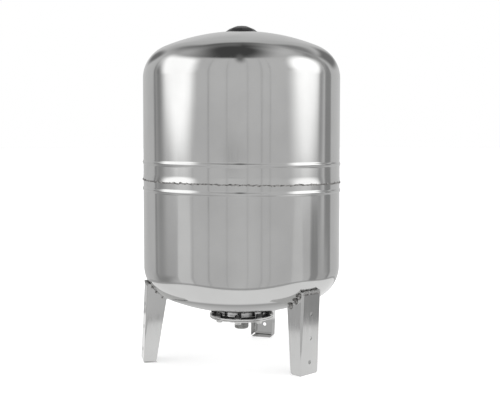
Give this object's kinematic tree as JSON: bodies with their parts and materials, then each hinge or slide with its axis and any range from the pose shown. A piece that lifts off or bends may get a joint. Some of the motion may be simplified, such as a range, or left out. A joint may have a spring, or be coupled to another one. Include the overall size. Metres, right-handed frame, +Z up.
{
  "type": "well pressure tank",
  "caption": "Upright stainless steel pressure tank for a well or booster pump, on folded sheet legs, with a bolted bottom inlet flange and a capped air valve on top.",
  "frame": {"origin": "on the tank's vertical axis, at floor level", "axes": "+Z up along the tank's axis, -Y through the front leg; the other legs stand 120 degrees from it"},
  "size_m": [0.4543, 0.4544, 0.764],
  "materials": {
    "tank_steel": "bright rolled stainless sheet, fine vertical drawing lines",
    "leg_steel": "folded stainless sheet, mill finish",
    "flange_steel": "turned and pressed stainless steel",
    "thread_steel": "machined thread",
    "fastener_steel": "bright plated hexagon fasteners",
    "weld_steel": "as welded, lumpy and partly oxidised",
    "rubber": "black moulded rubber",
    "brass": "turned brass",
    "cap_plastic": "black moulded plastic, satin"
  },
  "bodies": {
    "root": {"upper_shell": "tank_steel", "lower_shell": "tank_steel", "girth_weld": "weld_steel", "bladder": "rubber", "collar": "flange_steel", "flange_plate": "flange_steel", "inlet_nipple": "thread_steel", "collar_weld": "weld_steel", "nipple_weld": "weld_steel", "flange_bolts": "fastener_steel", "flange_washers": "fastener_steel", "flange_nuts": "fastener_steel", "leg_front": "leg_steel", "leg_right": "leg_steel", "leg_left": "leg_steel", "leg_front_welds": "weld_steel", "leg_right_welds": "weld_steel", "leg_left_welds": "weld_steel", "cap_seat": "flange_steel", "valve_boss": "flange_steel", "boss_weld": "weld_steel", "valve_seal": "rubber", "valve_body": "brass", "valve_core": "brass", "valve_dust_cap": "cap_plastic", "top_cap": "cap_plastic"}
  },
  "joints": []
}
